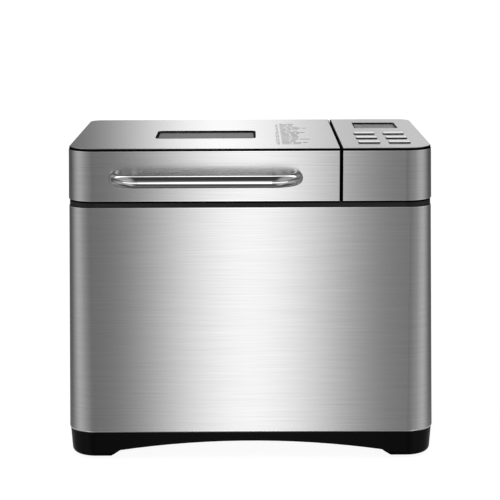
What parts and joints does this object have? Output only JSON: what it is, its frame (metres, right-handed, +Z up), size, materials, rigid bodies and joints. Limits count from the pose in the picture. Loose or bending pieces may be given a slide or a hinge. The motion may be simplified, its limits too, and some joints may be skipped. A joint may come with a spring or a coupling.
{
  "type": "bread machine",
  "caption": "Free-standing steel bread machine: hinged lid with window and bar handle, control section with display and buttons, lift-out pan, paddle and belt drive.",
  "frame": {"origin": "middle of the whole footprint, handle included, on the surface it stands on", "axes": "+X to the right seen from the front, +Y to the rear, +Z up"},
  "size_m": [0.3606, 0.2876, 0.3102],
  "materials": {
    "steel": "brushed along the width",
    "chrome": "polished",
    "black_plastic": "satin moulded",
    "rubber": "matte",
    "glass": "clear grey",
    "display": "liquid crystal grey",
    "button": "silver paint",
    "hardware": "zinc plated",
    "oven_steel": "aluminised sheet",
    "liner": "satin",
    "element": "oxidised sheath",
    "nonstick": "non-stick coating",
    "alloy": "die cast",
    "pulley": "natural nylon",
    "motor": "bare can",
    "board": "circuit board"
  },
  "bodies": {
    "cabinet": {"body_wrap": "steel", "control_skirt": "steel", "control_fascia": "steel", "base_tray": "black_plastic", "rear_panel": "black_plastic", "top_frame": "black_plastic", "control_housing": "black_plastic", "cord_gland": "black_plastic", "rubber_feet": "rubber", "drive_belt": "rubber", "display_lens": "glass", "display_module": "display", "rear_screws": "hardware", "hinge_pins": "hardware", "chassis_screws": "hardware", "oven_chamber": "oven_steel", "heat_shield": "oven_steel", "chassis_plate": "oven_steel", "pan_clips": "oven_steel", "element_brackets": "oven_steel", "heating_element": "element", "temperature_sensor": "element", "main_bearing": "alloy", "pan_seat": "alloy", "motor": "motor", "motor_capacitor": "motor", "power_board": "board", "control_board": "board", "tact_switches": "board"},
    "lid": {"lid_frame": "black_plastic", "lid_skirt": "steel", "lid_top_plate": "steel", "lid_liner": "liner", "lid_seal": "rubber", "window_bezel": "black_plastic", "window_glass": "glass", "inner_glass": "glass", "lid_handle": "chrome", "handle_screws": "hardware"},
    "pan": {"bread_pan": "nonstick", "pan_foot_ring": "alloy", "pan_ears": "hardware", "pan_bearing": "alloy", "pan_shaft_seal": "rubber"},
    "bail": {"pan_bail": "hardware"},
    "pan_spindle": {"pan_shaft": "hardware", "drive_dog": "alloy"},
    "paddle": {"kneading_paddle": "nonstick"},
    "drive": {"drive_shaft": "hardware", "drive_cup": "alloy", "large_pulley": "pulley"},
    "rotor": {"motor_shaft": "hardware", "motor_pulley": "pulley", "motor_fan": "pulley"},
    "menu_button": {"menu_button": "button"},
    "size_button": {"size_button": "button"},
    "colour_button": {"colour_button": "button"},
    "time_up_button": {"time_up_button": "button"},
    "time_down_button": {"time_down_button": "button"},
    "start_button": {"start_button": "button"}
  },
  "joints": [
    {"name": "lid_hinge", "type": "hinge", "parent": "cabinet", "child": "lid", "pos_m": [-0.045, 0.13374, 0.263], "axis": [-1, 0, 0], "range_deg": [0, 95]},
    {"name": "pan_lift", "type": "slide", "parent": "cabinet", "child": "pan", "axis": [0, 0, 1], "range_m": [0, 0.055]},
    {"name": "bail_swing", "type": "hinge", "parent": "pan", "child": "bail", "pos_m": [-0.043, 0.01424, 0.229], "axis": [-1, 0, 0], "range_deg": [0, 180]},
    {"name": "drive_spin", "type": "hinge", "parent": "cabinet", "child": "drive", "pos_m": [-0.043, 0.01424, 0.046], "axis": [0, 0, 1], "continuous": true},
    {"name": "motor_spin", "type": "hinge", "parent": "cabinet", "child": "rotor", "pos_m": [0.128, 0.03624, 0.046], "axis": [0, 0, 1], "continuous": true},
    {"name": "spindle_spin", "type": "hinge", "parent": "pan", "child": "pan_spindle", "pos_m": [-0.043, 0.01424, 0.0935], "axis": [0, 0, 1], "continuous": true},
    {"name": "paddle_pull", "type": "slide", "parent": "pan_spindle", "child": "paddle", "axis": [0, 0, 1], "range_m": [0, 0.06]},
    {"name": "menu_press", "type": "slide", "parent": "cabinet", "child": "menu_button", "axis": [0, 0, -1], "range_m": [0, 0.0008], "stiffness_N_per_m": 600, "springref_m": -0.001},
    {"name": "size_press", "type": "slide", "parent": "cabinet", "child": "size_button", "axis": [0, 0, -1], "range_m": [0, 0.0008], "stiffness_N_per_m": 600, "springref_m": -0.001},
    {"name": "colour_press", "type": "slide", "parent": "cabinet", "child": "colour_button", "axis": [0, 0, -1], "range_m": [0, 0.0008], "stiffness_N_per_m": 600, "springref_m": -0.001},
    {"name": "time_up_press", "type": "slide", "parent": "cabinet", "child": "time_up_button", "axis": [0, 0, -1], "range_m": [0, 0.0008], "stiffness_N_per_m": 600, "springref_m": -0.001},
    {"name": "time_down_press", "type": "slide", "parent": "cabinet", "child": "time_down_button", "axis": [0, 0, -1], "range_m": [0, 0.0008], "stiffness_N_per_m": 600, "springref_m": -0.001},
    {"name": "start_press", "type": "slide", "parent": "cabinet", "child": "start_button", "axis": [0, 0, -1], "range_m": [0, 0.0008], "stiffness_N_per_m": 600, "springref_m": -0.001}
  ],
  "couplings": [
    {"joint": "motor_spin", "follows": "drive_spin", "ratio": 6},
    {"joint": "spindle_spin", "follows": "drive_spin", "ratio": 1}
  ]
}
